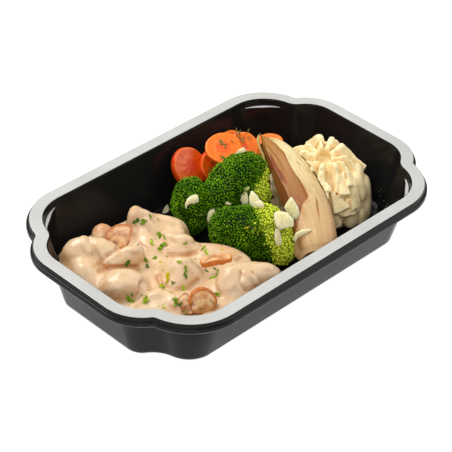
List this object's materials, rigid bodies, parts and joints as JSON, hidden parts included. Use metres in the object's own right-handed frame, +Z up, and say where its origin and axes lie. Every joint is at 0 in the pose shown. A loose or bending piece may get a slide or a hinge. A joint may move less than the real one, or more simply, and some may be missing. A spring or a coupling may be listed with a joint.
{
  "type": "ready meal in a black plastic tray",
  "caption": "Chilled ready meal in a black moulded tray: creamy chicken with mushrooms, broccoli florets, carrot slices, braised chicory and a ridged mound of mashed potato.",
  "frame": {"origin": "centre of the tray's flat underside", "axes": "+X along the tray's length towards the mashed potato, +Y across the tray towards the carrots, +Z up"},
  "size_m": [0.2408, 0.153, 0.0475],
  "materials": {
    "tray": "glossy black moulded plastic, with a light-grey satin sealing face on the rim",
    "sauce": "glossy pale cream sauce with fine specks",
    "chicken": "chicken pieces coated with glossy cream sauce",
    "mushroom": "fried mushroom, brown skin and pale cut face, wet",
    "broccoli": "cooked broccoli, dark green buds with a yellow-green cut side",
    "carrot": "cooked carrot slices with a redder core, wet",
    "chicory": "braised chicory, pale straw leaves with browned edges, wet",
    "mash": "pale cream mashed potato, soft satin",
    "onion": "soft translucent cooked onion, wet"
  },
  "bodies": {
    "root": {"tray": "tray", "sauce": "sauce", "chicken_left": "chicken", "chicken_peak": "chicken", "chicken_finger": "chicken", "chicken_ball": "chicken", "chicken_middle": "chicken", "chicken_block": "chicken", "chicken_back": "chicken", "chicken_right": "chicken", "mushroom_button": "mushroom", "mushroom_slice_back": "mushroom", "mushroom_slice_flat": "mushroom", "mushroom_half_front": "mushroom", "broccoli_left": "broccoli", "broccoli_middle": "broccoli", "broccoli_front": "broccoli", "carrot_left": "carrot", "carrot_second": "carrot", "carrot_front": "carrot", "carrot_right": "carrot", "carrot_back": "carrot", "carrot_far": "carrot", "carrot_heap": "carrot", "chicory": "chicory", "mash": "mash", "onion_left": "onion", "onion_folded": "onion", "onion_wide": "onion", "onion_tall": "onion"}
  },
  "joints": []
}
